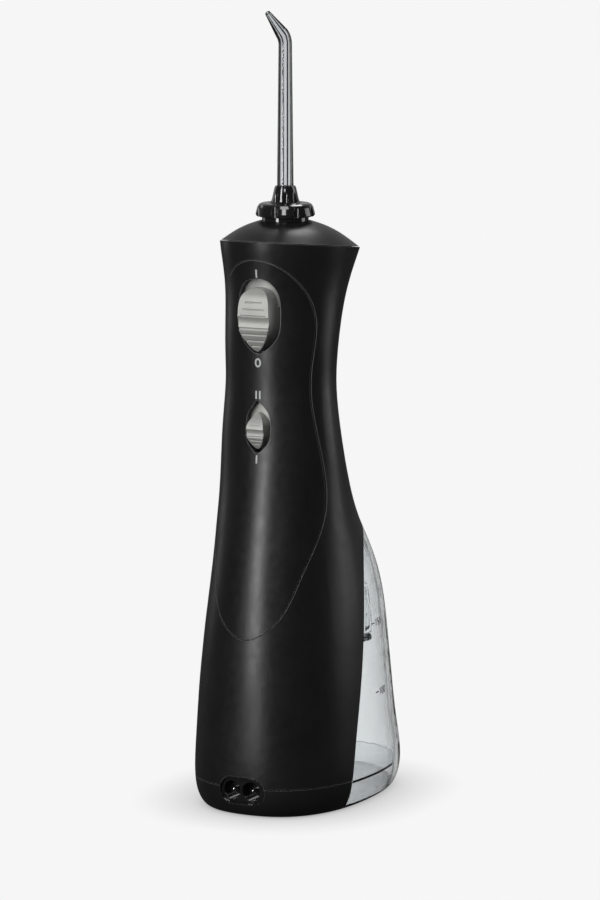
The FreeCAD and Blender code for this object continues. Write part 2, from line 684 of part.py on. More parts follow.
# ---------------------------------------------------------------- gears
def spur_gear(teeth, width, bore, phase):
    """Gear with its axis along Y and tapered teeth; phase turns it by part of a tooth."""
    pitch = MODULE * teeth / 2
    root = pitch - 1.25 * MODULE
    tip = pitch + MODULE
    tooth = math.pi / teeth
    loss = GEAR_BACKLASH / pitch
    root_half = 0.72 * tooth - loss / 2
    tip_half = 0.26 * tooth - loss / 2
    points = []
    for k in range(teeth):
        middle = 2 * tooth * (k + phase)
        corners = [(root, -root_half), (tip, -tip_half), (tip, tip_half), (root, root_half)]
        for radius, side in corners:
            angle = middle + side
            points.append(V(radius * math.sin(angle), 0, radius * math.cos(angle)))
    face = Part.Face(Part.makePolygon(points + points[:1]))
    gear = face.extrude(V(0, width, 0))
    return gear.cut(cylinder(bore, width, V(0, 0, 0), Y_AXIS))


def make_crank_gear():
    gear = spur_gear(CRANK_TEETH, GEAR_WIDTH, 1.5 + RUN, 0)
    stub = cylinder(1.6, 0.7, V(0, GEAR_WIDTH, CRANK_RADIUS), Y_AXIS)
    gear = gear.fuse(stub)
    for k in range(5):
        hole = cylinder(1.9, GEAR_WIDTH, V(7.3, 0, 0), Y_AXIS)
        hole.rotate(V(0, 0, 0), Y_AXIS, 72 * k + 54)
        gear = gear.cut(hole)
    gear.translate(V(0, GEAR_Y, CRANK_Z))
    return gear


def make_motor_pinion():
    pinion = spur_gear(PINION_TEETH, GEAR_WIDTH + 0.8, SHAFT_RADIUS, 0.5)
    pinion.translate(V(0, GEAR_Y - 0.4, MOTOR_Z))
    return pinion


def make_motor_shaft():
    length = MOTOR_FRONT_Y + MOTOR_LENGTH - 0.2 - (GEAR_Y - 0.6)
    return cylinder(SHAFT_RADIUS, length, V(0, GEAR_Y - 0.6, MOTOR_Z), Y_AXIS)


# ---------------------------------------------------------------- motor, frame and pump
def make_motor_can():
    can = cylinder(MOTOR_RADIUS, MOTOR_LENGTH - 3, V(0, MOTOR_FRONT_Y, MOTOR_Z), Y_AXIS)
    can = can.cut(cylinder(MOTOR_RADIUS - 1, MOTOR_LENGTH - 4, V(0, MOTOR_FRONT_Y + 1, MOTOR_Z), Y_AXIS))
    boss = cylinder(3.0, 1.2, V(0, MOTOR_FRONT_Y - 1.2, MOTOR_Z), Y_AXIS)
    return can.fuse(boss).cut(cylinder(SHAFT_RADIUS + RUN, 6, V(0, MOTOR_FRONT_Y - 2, MOTOR_Z), Y_AXIS))


def make_motor_rotor():
    """Armature on the shaft, inside the can."""
    return tube(MOTOR_RADIUS - 2.2, SHAFT_RADIUS, 9, V(0, MOTOR_FRONT_Y + 2.5, MOTOR_Z), Y_AXIS)


def make_motor_end_bell():
    start = V(0, MOTOR_FRONT_Y + MOTOR_LENGTH - 3, MOTOR_Z)
    bell = cylinder(MOTOR_RADIUS, 3, start, Y_AXIS)
    bell = bell.cut(cylinder(SHAFT_RADIUS + RUN, 3, start, Y_AXIS))
    for side in (-1, 1):
        lug = block(side * 7 - 1.2, side * 7 + 1.2, start.y + 3, start.y + 4, MOTOR_Z - 0.3, MOTOR_Z + 0.3)
        bell = bell.fuse(lug)
    return bell


def make_pump_frame():
    """U-shaped frame: a front plate for the gear axle, side walls and a motor plate."""
    low = MOTOR_Z - 5
    front = block(-FRAME_X, FRAME_X, -13.4, -11.4, low, FRAME_TOP)
    front = front.cut(cylinder(1.5, 3, V(0, -13.6, CRANK_Z), Y_AXIS))
    motor_plate = block(-FRAME_X, FRAME_X, -3.6, MOTOR_FRONT_Y, low, CRANK_Z - 8)
    motor_plate = motor_plate.cut(cylinder(3.1, 3, V(0, -4, MOTOR_Z), Y_AXIS))
    frame = front.fuse(motor_plate)
    for side in (-1, 1):
        x0, x1 = sorted((side * FRAME_X, side * (FRAME_X - 1.8)))
        wall = block(x0, x1, -13.4, MOTOR_FRONT_Y, low, FRAME_TOP)
        frame = frame.fuse(wall)
    shelf = block(-FRAME_X, FRAME_X, -13.4, 1.4, FRAME_TOP - 1.8, FRAME_TOP)
    shelf = shelf.cut(cylinder(PISTON_RADIUS + 0.6, 6, V(0, PISTON_Y, FRAME_TOP - 3)))
    frame = frame.fuse(shelf)
    for x in (-11.5, 11.5):
        frame = frame.cut(cylinder(1.05, 6, V(x, PISTON_Y, FRAME_TOP - 3)))
    return frame.removeSplitter()


def make_frame_screws():
    screws = []
    for x in (-11.5, 11.5):
        shank = cylinder(1.0, 5.0, V(x, PISTON_Y, FRAME_TOP - 2.6))
        head = cylinder(1.9, 1.3, V(x, PISTON_Y, FRAME_TOP + 2.4))
        screws.append(shank.fuse(head))
    return Part.makeCompound(screws)


def make_gear_axle():
    return cylinder(1.5, 5.8, V(0, -13.4, CRANK_Z), Y_AXIS)


def make_connecting_rod():
    """Rod from the crank's eye to the wrist pin, in a plane of its own."""
    y0 = GEAR_Y + GEAR_WIDTH + 0.95
    width = 2.2
    low = V(0, y0, CRANK_Z + CRANK_RADIUS)
    high = V(0, y0, WRIST_Z)
    rod = cylinder(3.1, width, low, Y_AXIS).fuse(cylinder(2.2, width, high, Y_AXIS))
    rod = rod.fuse(block(-1.1, 1.1, y0, y0 + width, low.z, high.z))
    rod = rod.cut(cylinder(1.65, width, low, Y_AXIS))
    return rod.cut(cylinder(1.0 + RUN, width, high, Y_AXIS)).removeSplitter()


def make_wrist_pin():
    return cylinder(1.0, 7.0, V(0, PISTON_Y - 3.5, WRIST_Z), Y_AXIS)


def make_piston():
    """Hollow plunger, open below for the rod."""
    body = cylinder(PISTON_RADIUS - 0.08, 15, V(0, PISTON_Y, WRIST_Z - 3.4))
    slot = block(-3.0, 3.0, PISTON_Y - 1.5, PISTON_Y + 1.5, WRIST_Z - 4, WRIST_Z + 3)
    body = body.cut(slot)
    body = body.cut(cylinder(1.0, 9, V(0, PISTON_Y - 4.5, WRIST_Z), Y_AXIS))
    groove = tube(PISTON_RADIUS + 1, PISTON_RADIUS - 1.0, 1.6, V(0, PISTON_Y, WRIST_Z + 8.4))
    return body.cut(groove)


def make_piston_seal():
    return tube(PISTON_RADIUS - 0.02, PISTON_RADIUS - 0.98, 1.5, V(0, PISTON_Y, WRIST_Z + 8.45))


def make_pump_cylinder():
    low = FRAME_TOP
    barrel = cylinder(PISTON_RADIUS + 1.6, CYLINDER_TOP - low, V(0, PISTON_Y, low))
    flange = block(-14.0, 14.0, PISTON_Y - 4.5, PISTON_Y + 4.5, low, low + 2.4)
    body = barrel.fuse(flange)
    for x in (-11.5, 11.5):
        body = body.cut(cylinder(1.05, 4, V(x, PISTON_Y, low)))
    return body.cut(cylinder(PISTON_RADIUS, CYLINDER_TOP - low, V(0, PISTON_Y, low)))


def make_valve_block():
    """Pump head: an inlet chamber on one side and an outlet chamber on the other."""
    y0, y1 = PISTON_Y - 4.4, PISTON_Y + 4.4
    body = block(-10.4, 10.4, y0, y1, BLOCK_LOW, BLOCK_HIGH)
    body = body.cut(cylinder(PISTON_RADIUS - 1, 1.5, V(0, PISTON_Y, BLOCK_LOW)))
    for x in (-VALVE_X, VALVE_X):
        body = body.cut(cylinder(2.5, 6.0, V(x, PISTON_Y, BLOCK_LOW + 2.0)))
        body = body.cut(cylinder(1.1, 12, V(x, PISTON_Y, BLOCK_LOW - 1)))
    cross = cylinder(0.9, 12, V(-VALVE_X, PISTON_Y, BLOCK_LOW + 1.4), X_AXIS)
    body = body.cut(cross)
    nipple = tube(1.6, 1.1, 3.5, V(VALVE_X, PISTON_Y, BLOCK_HIGH))
    inlet = cylinder(1.6, 3.0, V(INLET_X, PISTON_Y, BLOCK_LOW - 3.0))
    return body.fuse(nipple).fuse(inlet).cut(cylinder(1.0, 7.0, V(INLET_X, PISTON_Y, BLOCK_LOW - 3.0)))


def make_valve_balls():
    balls = [Part.makeSphere(1.6, V(x, PISTON_Y, BLOCK_LOW + 3.7)) for x in (-VALVE_X, VALVE_X)]
    return Part.makeCompound(balls)


def make_valve_springs():
    springs = []
    for x in (-VALVE_X, VALVE_X):
        helix = Part.makeHelix(0.8, 2.4, 1.3)
        ring = Part.Wire(Part.makeCircle(0.17, V(1.3, 0, 0), Y_AXIS))
        spring = Part.Wire(helix).makePipeShell([ring], True, True)
        spring.translate(V(x, PISTON_Y, BLOCK_LOW + 5.4))
        springs.append(spring)
    return Part.makeCompound(springs)


def make_outlet_tube():
    low = V(VALVE_X, PISTON_Y, BLOCK_HIGH + 1.0)
    points = [low, low + V(0, 0.2, 2.6), V(3.4, -2.0, BLOCK_HIGH + 6.6), V(0.3, -0.1, 188.6), V(0, 0, 191.0)]
    return hose(points, 2.9, 2.05)


def fitting_y():
    """Back face of the housing where the inlet fitting comes through."""
    return 3.2


def make_inlet_fitting():
    """Barbed water inlet through the housing's back wall, towards the tank."""
    y = fitting_y()
    body = cylinder(3.0, 9.0, V(0, y - 7.5, FITTING_Z), Y_AXIS)
    collar = cylinder(4.6, 1.2, V(0, y - 4.6, FITTING_Z), Y_AXIS)
    barb = cylinder(1.6, 3.6, V(0, y - 10.4, FITTING_Z), Y_AXIS)
    bore = cylinder(1.0, 30, V(0, y - 14, FITTING_Z), Y_AXIS)
    return body.fuse(collar).fuse(barb).cut(bore)


def make_inlet_hose():
    y = fitting_y()
    points = [V(0, y - 8.2, FITTING_Z), V(0, y - 10.2, FITTING_Z + 0.2), V(-1.5, y - 11.8, FITTING_Z + 5),
              V(-11.5, y - 6, 88), V(-15.4, 4.0, 106), V(-15.2, 5.8, 122), V(-12.6, 5.8, 138),
              V(-10.8, 4.6, 151), V(-8.7, -4.0, BLOCK_LOW - 7), V(INLET_X, PISTON_Y, BLOCK_LOW - 2.8),
              V(INLET_X, PISTON_Y, BLOCK_LOW - 0.5)]
    return hose(points, 2.4, 1.8)


# ---------------------------------------------------------------- electrics
def make_battery_cells():
    cells = []
    for side in (-1, 1):
        base = V(side * (CELL_RADIUS + 0.6), CELL_Y, CELL_LOW)
        cell = cylinder(CELL_RADIUS, CELL_LENGTH - 1.2, base)
        cells.append(cell.fuse(cylinder(2.6, CELL_LENGTH, base)))
    return Part.makeCompound(cells)


def make_battery_tray():
    """Cradle open at the front, with end walls over both cells."""
    half = 2 * CELL_RADIUS + 2.4
    low, high = CELL_LOW - 2.6, CELL_LOW + CELL_LENGTH + 2.6
    tray = block(-half, half, CELL_Y, CELL_Y + CELL_RADIUS + 1.8, low, high)
    for side in (-1, 1):
        base = V(side * (CELL_RADIUS + 0.6), CELL_Y, low + 1.6)
        tray = tray.cut(cylinder(CELL_RADIUS + 0.15, high - low - 3.2, base))
        tray = tray.cut(block(base.x - 4, base.x + 4, CELL_Y - 1, CELL_Y + 3, low + 1.6, high - 1.6))
    return tray


def make_battery_contacts():
    strips = []
    for side in (-1, 1):
        x = side * (CELL_RADIUS + 0.6)
        for z in (CELL_LOW - 0.9, CELL_LOW + CELL_LENGTH + 0.2):
            strips.append(block(x - 3, x + 3, CELL_Y + 0.4, CELL_Y + 5.4, z, z + 0.5))
    return Part.makeCompound(strips)


def make_circuit_board():
    board = block(-9, 9, BOARD_Y + 0.1, BOARD_Y + 1.1, 174.5, 199.5)
    chip = block(2, 7, BOARD_Y + 1.1, BOARD_Y + 2.4, 190.8, 196.8)
    cap = cylinder(2, 3.4, V(-5, BOARD_Y + 1.1, 193), Y_AXIS)
    return board.fuse(chip).fuse(cap)


def make_switch_body():
    y0 = BOARD_Y + 1.1
    return block(-4.4, 4.4, y0, y0 + 3.2, POWER_Z - 7, POWER_Z + 5)


def make_slider_guide():
    """Gasketed plate behind the power slider's recess."""
    y = RECESS_FLOOR_Y
    plate = block(-11.0, 11.0, y + 1.4, y + 2.3, 166.5, 202.5)
    slot = block(-2.4, 2.4, y, y + 3, POWER_Z - 5.6, POWER_Z - 0.4 + POWER_TRAVEL)
    return plate.cut(slot).common(skin_solid(150, 216, WALL + 0.2))


def make_wiring():
    """Two leads from the battery tray up to the motor."""
    top = CELL_LOW + CELL_LENGTH + 3.4
    wires = []
    for side in (-1, 1):
        points = [V(side * 4, CELL_Y + 4, top), V(side * 4.5, -11, top + 10), V(side * 5.5, 1, 98),
                  V(side * 6.5, 11, 105.6), V(side * 7, 16.8, 112), V(side * 7, 16.4, MOTOR_Z - 0.6)]
        wires.append(hose(points, 0.7))
    return Part.makeCompound(wires)


def make_pressure_valve():
    """Upright blade behind the pressure slider's stem, which would move the bypass valve."""
    centre = PRESSURE_Z - 1.6
    return block(-1.0, 1.0, -14.3, -13.5, centre - 1.4, centre + 6.0)


# ---------------------------------------------------------------- tank
def door_prism(grow, y0=30.0, y1=80.0):
    half_w = DOOR_HALF_WIDTH + grow
    half_h = DOOR_HALF_HEIGHT + grow
    box = block(-half_w, half_w, y0, y1, DOOR_Z - half_h, DOOR_Z + half_h)
    corners = [e for e in box.Edges if abs(e.tangentAt(e.FirstParameter).y) > 0.9]
    return box.makeFillet(DOOR_CORNER + grow, corners)


def hinge_centre():
    """Door hinge axis, along X, just outside the door's lower edge."""
    z = DOOR_Z - DOOR_HALF_HEIGHT - 1.6
    return V(0, skin_point(z, math.pi).y + HINGE_RADIUS + 0.15, z)


def make_reservoir_tank(envelope):
    tank = envelope.common(tank_side(TANK_GAP / 2))
    hollow = skin_solid(TANK_FLOOR, 140, TANK_WALL).common(tank_side(TANK_GAP / 2 + TANK_WALL))
    tank = tank.cut(hollow)
    tank = tank.cut(door_prism(DOOR_GAP))
    port = cylinder(3.3, 30, V(0, -12, FITTING_Z), Y_AXIS)
    tank = tank.cut(port)
    hinge = hinge_centre()
    for side in (-1, 1):
        x0 = 7.2 if side > 0 else -10.2
        lug = cylinder(HINGE_RADIUS, 3.0, V(x0, hinge.y, hinge.z), X_AXIS)
        web = block(x0, x0 + 3.0, hinge.y - 3.6, hinge.y, hinge.z - HINGE_RADIUS, hinge.z + 0.7)
        tank = tank.fuse(lug).fuse(web)
    return tank.cut(cylinder(HINGE_PIN_RADIUS, 40, V(-20, hinge.y, hinge.z), X_AXIS))


def make_reservoir_door(envelope):
    door = envelope.common(door_prism(0)).cut(skin_solid(20, 120, TANK_WALL))
    hinge = hinge_centre()
    barrel = cylinder(HINGE_RADIUS, 14.0, V(-7.0, hinge.y, hinge.z), X_AXIS)
    face = hinge.y - HINGE_RADIUS
    arm = block(-7.0, 7.0, face + 0.1, face + 2.0, hinge.z, hinge.z + 4.2)
    root = block(-7.0, 7.0, face - 1.3, face + 2.0, hinge.z + 1.9, hinge.z + 4.2)
    door = door.fuse(arm).fuse(root).fuse(barrel)
    lip_z = DOOR_Z + DOOR_HALF_HEIGHT
    lip_y = skin_point(lip_z, math.pi).y
    tab = block(-5.0, 5.0, lip_y - 1.6, lip_y + 1.6, lip_z - 2.6, lip_z - 0.6)
    door = door.fuse(tab)
    return door.cut(cylinder(HINGE_PIN_RADIUS + RUN, 40, V(-20, hinge.y, hinge.z), X_AXIS))


def make_door_gasket():
    """Seal plug on the inside of the fill door."""
    ring = door_prism(-0.8).cut(door_prism(-2.6))
    ring = ring.common(skin_solid(20, 120, TANK_WALL + 0.25)).cut(skin_solid(20, 120, TANK_WALL + 1.4))
    return ring


def make_door_hinge_pin():
    hinge = hinge_centre()
    return cylinder(HINGE_PIN_RADIUS, 21.6, V(-10.8, hinge.y, hinge.z), X_AXIS)


def make_port_seal():
    """Rubber grommet in the tank's port that the inlet fitting plugs into."""
    y = fitting_y()
    return tube(3.2, 1.3, 2.0, V(0, y + 1.9, FITTING_Z), Y_AXIS)


def make_intake_tube():
    """Bent tube inside the tank, from the port down to the filter."""
    y = fitting_y() + 5.8
    points = [V(0, y - 1.4, FITTING_Z), V(0, y + 3.0, FITTING_Z - 0.6), V(0, y + 8, FITTING_Z - 8),
              V(0, y + 9.5, 38), V(0, y + 11, 12.5)]
    return hose(points, 2.4, 1.5)


def make_intake_filter():
    y = fitting_y() + 16.6
    body = cylinder(4.4, 7.5, V(0, y, TANK_FLOOR + 0.8))
    body = body.cut(cylinder(2.5, 5.0, V(0, y, TANK_FLOOR + 5.0)))
    for k in range(8):
        slot = block(3.2, 5.0, -0.5, 0.5, TANK_FLOOR + 1.8, TANK_FLOOR + 6.6)
        slot.rotate(V(0, 0, 0), Z_AXIS, 45 * k)
        slot.translate(V(0, y, 0))
        body = body.cut(slot)
    return body


# ---------------------------------------------------------------- build everything
def main():
    os.makedirs("parts", exist_ok=True)
    envelope = make_envelope()
    save(make_main_housing(envelope), "main_housing")
    save(make_front_panel(envelope), "front_panel")
    save(make_head_cap(), "head_cap")
    save(make_base_cap(envelope), "base_cap")
    save(make_base_seal(), "base_seal")
    save(make_base_screws(), "base_screws")
    save(make_charging_port(), "charging_port")
    save(make_charging_pins(), "charging_pins")
    save(make_power_slider(), "power_slider")
    save(make_pressure_slider(), "pressure_slider")
    save(make_rotation_knob(), "rotation_knob")
    save(make_jet_tip(), "jet_tip")
    save(make_eject_button(), "eject_button")
    save(make_eject_latch(), "eject_latch")
    save(make_tip_socket(), "tip_socket")
    save(make_tip_seals(), "tip_seals")
    save(make_eject_spring(), "eject_spring")
    save(make_crank_gear(), "crank_gear")
    save(make_motor_pinion(), "motor_pinion")
    save(make_motor_shaft(), "motor_shaft")
    save(make_motor_rotor(), "motor_rotor")
    save(make_motor_can(), "motor_can")
    save(make_motor_end_bell(), "motor_end_bell")
    save(make_pump_frame(), "pump_frame")
    save(make_frame_screws(), "frame_screws")
    save(make_gear_axle(), "gear_axle")
    save(make_connecting_rod(), "connecting_rod")
    save(make_wrist_pin(), "wrist_pin")
    save(make_piston(), "piston")
    save(make_piston_seal(), "piston_seal")
    save(make_pump_cylinder(), "pump_cylinder")
    save(make_valve_block(), "valve_block")
    save(make_valve_balls(), "valve_balls")
    save(make_valve_springs(), "valve_springs")
    save(make_outlet_tube(), "outlet_tube")
    save(make_inlet_fitting(), "inlet_fitting")
    save(make_inlet_hose(), "inlet_hose")
    save(make_battery_cells(), "battery_cells")
    save(make_battery_tray(), "battery_tray")
    save(make_battery_contacts(), "battery_contacts")
    save(make_circuit_board(), "circuit_board")
    save(make_switch_body(), "switch_body")
    save(make_slider_guide(), "slider_guide")
    save(make_wiring(), "motor_leads")
    save(make_pressure_valve(), "pressure_valve_stem")
    save(make_reservoir_tank(envelope), "reservoir_tank")
    save(make_reservoir_door(envelope), "reservoir_door")
    save(make_door_gasket(), "door_gasket")
    save(make_door_hinge_pin(), "door_hinge_pin")
    save(make_port_seal(), "port_seal")
    save(make_intake_tube(), "intake_tube")
    save(make_intake_filter(), "intake_filter")


main()
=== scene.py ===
import json
import math

import bmesh
import bpy
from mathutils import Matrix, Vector
from mathutils.bvhtree import BVHTree


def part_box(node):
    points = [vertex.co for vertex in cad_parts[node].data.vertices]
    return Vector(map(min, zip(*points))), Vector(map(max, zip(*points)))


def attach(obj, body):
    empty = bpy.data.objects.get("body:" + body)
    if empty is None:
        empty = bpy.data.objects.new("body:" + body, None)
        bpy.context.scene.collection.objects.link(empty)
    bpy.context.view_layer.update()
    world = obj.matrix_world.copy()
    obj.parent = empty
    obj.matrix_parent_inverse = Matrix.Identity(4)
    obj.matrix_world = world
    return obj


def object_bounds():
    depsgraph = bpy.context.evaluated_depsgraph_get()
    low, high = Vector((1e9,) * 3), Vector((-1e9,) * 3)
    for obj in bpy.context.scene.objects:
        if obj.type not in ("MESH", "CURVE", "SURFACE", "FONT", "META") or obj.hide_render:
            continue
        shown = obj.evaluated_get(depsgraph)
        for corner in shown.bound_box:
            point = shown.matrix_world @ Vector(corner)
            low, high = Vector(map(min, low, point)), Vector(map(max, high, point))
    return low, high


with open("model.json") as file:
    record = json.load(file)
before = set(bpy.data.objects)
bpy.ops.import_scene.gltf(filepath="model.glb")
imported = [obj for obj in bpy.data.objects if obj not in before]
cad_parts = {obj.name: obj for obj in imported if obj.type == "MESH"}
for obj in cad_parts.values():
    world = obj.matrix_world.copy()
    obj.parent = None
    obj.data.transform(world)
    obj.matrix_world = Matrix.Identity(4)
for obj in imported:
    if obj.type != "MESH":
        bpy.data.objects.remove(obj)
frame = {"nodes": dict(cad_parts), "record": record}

# Everything here is in metres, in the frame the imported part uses: +Z up the jet tip's axis, the
# sliders face -Y and the water tank is behind them, towards +Y.

NODES = frame["nodes"]
RECORD = frame["record"]
CAD_LOW, CAD_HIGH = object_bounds()
MM = 0.001
WHITE = (1, 1, 1, 1)

# Camera: a long lens, a little to the right of the sliders and a little above the base. The lens
# and the sensor are in millimetres.
CAMERA_TURN = math.radians(27.0)
CAMERA_DISTANCE = 1.6
CAMERA_HEIGHT = 0.38
CAMERA_AIM = Vector((4.8 * MM, 2.5 * MM, 132.4 * MM))
CAMERA_LENS = 174.0
CAMERA_SENSOR = 36.0
CAMERA_NEAR = 0.05
CAMERA_FAR = 60.0

# Studio brightness, where 1 is pure white. A pair of cosines says where a change starts and ends,
# measured between a ray and the camera's line of sight.
BACKDROP = 0.922                 # what the camera sees, behind and under the object
STUDIO_FRONT = 0.02              # the room in front of the object, in reflections
STUDIO_BACK = 0.30               # the wall behind it, in reflections
STUDIO_COSINES = (-0.1, 0.9)
STUDIO_SIDE = 0.02               # the cards that clear plastic bends into view at its edges
CARD_COSINES = (0.83, 0.98)
FLOOR_GLOW = 0.05                # the floor, in reflections
FLOOR_SIZE = 6.0
FLOOR_DROP = 0.05 * MM           # below the base, so that the two faces never coincide
SHADOW_REACH = 26 * MM
SHADOW_DEPTH = 0.40              # share of the floor's brightness left right under the object
SHADOW_SAMPLES = 16

# Softboxes: azimuth and elevation in degrees, sizes in metres, power in watts. Azimuth 0 is in
# front of the sliders and 90 to their right.
LIGHT_DISTANCE = 1.2
BODY_MIDDLE = 0.15
LIGHTS = {
    "key": {"azimuth": -13, "elevation": 8, "width": 0.24, "height": 1.3, "power": 11.0},
    "top": {"azimuth": 20, "elevation": 62, "width": 0.5, "height": 0.5, "power": 4.0},
    "back_top": {"azimuth": 195, "elevation": 50, "width": 0.4, "height": 0.3, "power": 2.0,
                 "aim_height": 0.2},
    "knob_strip": {"azimuth": 21, "elevation": 24, "width": 0.3, "height": 0.3, "power": 2.0,
                   "aim_height": 0.222},
    "right_rim": {"azimuth": 128, "elevation": 5, "width": 0.5, "height": 1.4, "power": 4.0},
    "left_rim": {"azimuth": -105, "elevation": 5, "width": 0.3, "height": 1.4, "power": 1.0},
}

# Materials.
BLACKER = 0.5                    # the black plastics under these lights, against the record's colour
BEVEL_SAMPLES = 4
WORN_AND_HIGHLIT_COSINES = (0.80, 0.99)      # between a face and its rounded normal: brightened below, as wear and, on the black plastics, as a painted highlight; untouched above
PATCH_LEVELS = (0.3, 0.7)        # the band of a noise's values that most of it lies in
SCUFF_LEVELS = (0.45, 0.75)
EDGE_ON = 0.97                   # how edge-on clear plastic is when its painted edge shade is at its darkest
MARK_INK = (0.62, 0.63, 0.64)
GRADUATION_INK = (0.22, 0.22, 0.23)
# Small parts of the tank that are drawn as clear as the tank itself, whatever their slot.
CLEAR_TANK_PARTS = ("intake_tube", "intake_filter", "door_gasket", "port_seal")

# Marks on the front panel, and how far every printed mark stands over and reaches into its surface.
MARK_LIFT = 0.07 * MM
MARK_SINK = 0.08 * MM
MARK_WIDTH = 0.62 * MM
BAR_HEIGHT = 3.0 * MM
BAR_STEPS = 8
BAR_SPACING = 1.5 * MM
RING_HEIGHT = 3.4 * MM
RING_WIDTH = 2.5 * MM
RING_STEPS = 40
BAR_ABOVE_POWER = 1.2 * MM
RING_BELOW_POWER = 3.9 * MM
BARS_ABOVE_PRESSURE = 2.0 * MM
BAR_BELOW_PRESSURE = 3.6 * MM
CLOSED_GAP = 0.1                 # of a stroke's width: nearer ends than this join up

# The tank's graduation.
GRADUATION = {67 * MM: "150", 41 * MM: "100"}
GRADUATION_Y = 12.0 * MM
DASH_LENGTH = 2.4 * MM
DASH_STEPS = 4
DIGIT_HEIGHT = 2.4 * MM
DIGIT_PITCH = 2.1 * MM
DIGIT_STROKE = 0.4 * MM
FIRST_DIGIT = 0.8                # pitches from the dash's end to the first digit's middle
ZERO_STEPS = 16
# Centre lines of the digits, in a box one unit high and 0.6 wide around (0, 0).
DIGITS = {
    "0": [(0.3 * math.sin(math.tau * k / ZERO_STEPS), 0.5 * math.cos(math.tau * k / ZERO_STEPS))
          for k in range(ZERO_STEPS + 1)],
    "1": [(-0.15, 0.3), (0.05, 0.5), (0.05, -0.5)],
    "5": [(0.27, 0.5), (-0.24, 0.5), (-0.27, 0.05), (0.05, 0.1), (0.27, -0.08), (0.27, -0.3),
          (0.1, -0.48), (-0.27, -0.46)],
}

# The raised shelf inside the tank.
SHELF_HEIGHT = 10.0 * MM
SHELF_THICKNESS = 0.9 * MM
SHELF_INSET = 2.3 * MM           # from the tank's outer face, past its wall
SHELF_SHIFT = 6 * MM             # of the shelf's middle, behind the middle of the tank's box
SHELF_POINTS = 64

# Where the rays that look for a surface start.
RAY_START = 10 * MM              # outside the whole object's box
SHELF_RAY_START = 0.2            # from the shelf's middle


class Shading:
    """An empty node tree, with short calls for the shader nodes used below."""

    # Where a Mix node keeps its share, its two values and its result.
    MIX_PLACES = {"FLOAT": (0, 2, 3, 0), "RGBA": (0, 6, 7, 2)}

    def __init__(self, owner):
        owner.use_nodes = True
        self.tree = owner.node_tree
        self.tree.nodes.clear()

    def add(self, kind, **settings):
        node = self.tree.nodes.new(kind)
        for name, value in settings.items():
            setattr(node, name, value)
        return node

    def join(self, source, target):
        self.tree.links.new(source, target)

    def feed(self, value, target):
        """Gives an input its value, which is a socket to join or a plain value."""
        if isinstance(value, bpy.types.NodeSocket):
            self.join(value, target)
        else:
            target.default_value = value

    def ranged(self, value, low, high, source=PATCH_LEVELS, kind="LINEAR"):
        """Number from low to high, as value goes through the source range."""
        node = self.add("ShaderNodeMapRange", interpolation_type=kind)
        node.inputs["From Min"].default_value = source[0]
        node.inputs["From Max"].default_value = source[1]
        node.inputs["To Min"].default_value = low
        node.inputs["To Max"].default_value = high
        self.join(value, node.inputs["Value"])
        return node.outputs[0]

    def mixed(self, share, first, second, kind="RGBA"):
        """Colour, or FLOAT number, between first and second."""
        node = self.add("ShaderNodeMix", data_type=kind)
        share_place, first_place, second_place, result_place = self.MIX_PLACES[kind]
        self.feed(share, node.inputs[share_place])
        self.feed(first, node.inputs[first_place])
        self.feed(second, node.inputs[second_place])
        return node.outputs[result_place]

    def along_view(self, direction):
        """Cosine between a direction and the camera's line of sight, wherever the camera is."""
        turned = self.add("ShaderNodeVectorTransform", vector_type="VECTOR", convert_from="WORLD",
                          convert_to="CAMERA")
        self.join(direction, turned.inputs[0])
        parts = self.add("ShaderNodeSeparateXYZ")
        self.join(turned.outputs[0], parts.inputs[0])
        return parts.outputs["Z"]

    def through_clear(self, direction):
        """What a ray sees once clear plastic has bent it: the bright backdrop only near the line of
        sight, and dark cards at the sides, which draw the plastic's edges."""
        either_way = self.add("ShaderNodeMath", operation="ABSOLUTE")
        self.join(self.along_view(direction), either_way.inputs[0])
        return self.ranged(either_way.outputs[0], STUDIO_SIDE, BACKDROP, CARD_COSINES, "SMOOTHSTEP")

    def by_ray(self, direction, reflected):
        """Brightness of the studio: the plain backdrop for the camera, what clear plastic bends into
        view, and the reflected brightness for every other ray."""
        path = self.add("ShaderNodeLightPath")
        bent = self.through_clear(direction)
        level = self.mixed(path.outputs["Is Transmission Ray"], reflected, bent, "FLOAT")
        return self.mixed(path.outputs["Is Camera Ray"], level, BACKDROP, "FLOAT")


